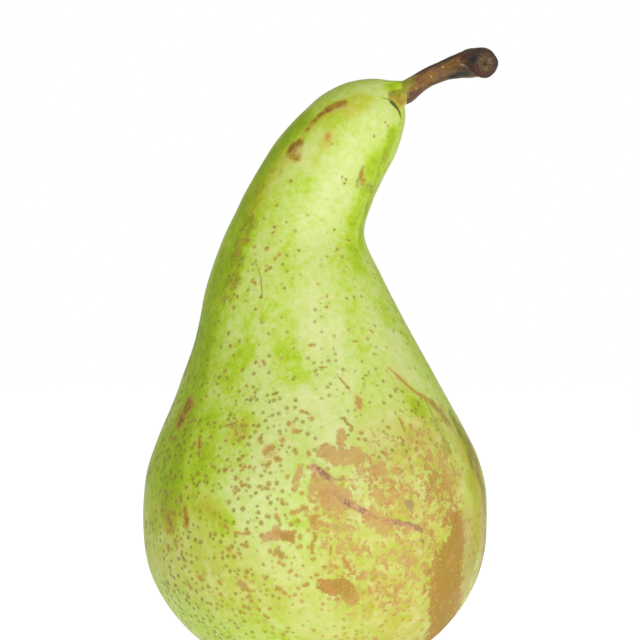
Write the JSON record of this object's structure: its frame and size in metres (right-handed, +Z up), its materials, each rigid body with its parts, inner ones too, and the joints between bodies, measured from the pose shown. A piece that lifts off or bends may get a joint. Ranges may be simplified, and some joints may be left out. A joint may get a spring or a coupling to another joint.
{
  "type": "pear",
  "caption": "Long-necked green pear whose neck leans to one side, with its woody stalk and the dried calyx in its base.",
  "frame": {"origin": "on the surface that the pear stands on, under the middle of its bounding box", "axes": "+Z up from the blossom end to the crown, the neck and stalk lean to +X, and the front is -Y"},
  "size_m": [0.0666, 0.063, 0.1178],
  "materials": {
    "skin": "waxy satin pear skin, yellow-green with brown pores and russet patches",
    "stalk_bark": "dry brown bark, greener at the fruit",
    "dried_flower": "dried, dark brown, papery"
  },
  "bodies": {
    "root": {"fruit": "skin", "stalk": "stalk_bark", "calyx": "dried_flower"}
  },
  "joints": []
}
